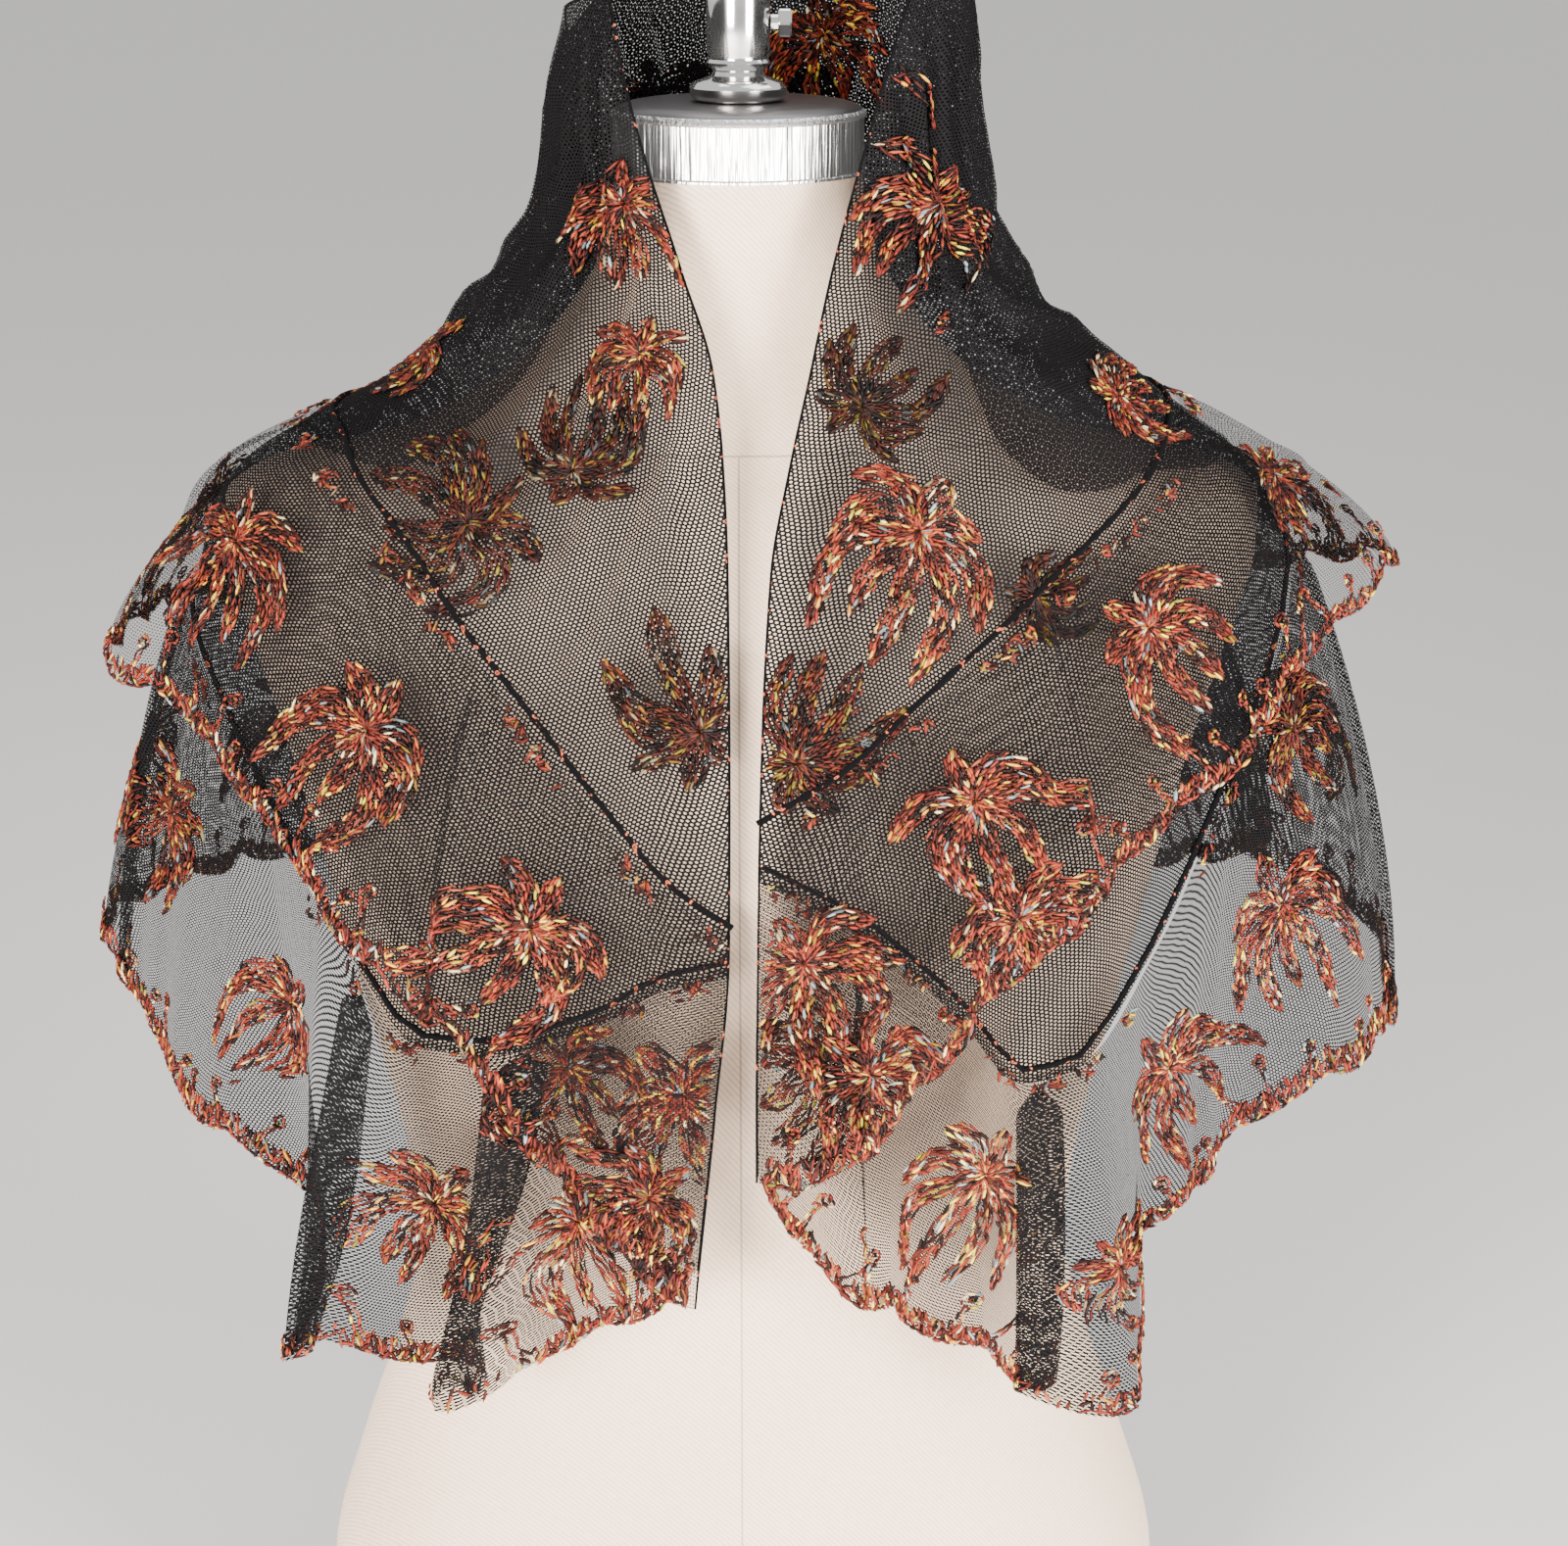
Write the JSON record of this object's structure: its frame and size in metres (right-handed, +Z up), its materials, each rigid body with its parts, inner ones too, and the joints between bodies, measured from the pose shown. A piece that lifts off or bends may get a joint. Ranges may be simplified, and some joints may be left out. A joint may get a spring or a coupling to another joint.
{
  "type": "embroidered net shawl on dress form",
  "caption": "Sheer black net shoulder shawl with stand collar and gathered scalloped flounces in variegated chain-stitch flowers, on a limbless linen dress form.",
  "frame": {"origin": "middle of the dress form's flat underside, on the axis of the body", "axes": "+Z up, the wearer's front faces -Y, +X is the wearer's left"},
  "size_m": [0.5113, 0.3162, 0.7063],
  "materials": {
    "linen": "cream twill, matt",
    "chrome": "bright plated",
    "black_net": "fine hexagonal net, matt",
    "embroidered_net": "net with raised chain stitch, matt"
  },
  "bodies": {
    "root": {"form_torso": "linen", "neck_cap": "chrome", "neck_stud": "chrome", "set_screw": "chrome", "yoke": "black_net", "upper_flounce": "embroidered_net", "lower_flounce": "embroidered_net", "upper_seam_cord": "black_net", "lower_seam_cord": "black_net"}
  },
  "joints": []
}
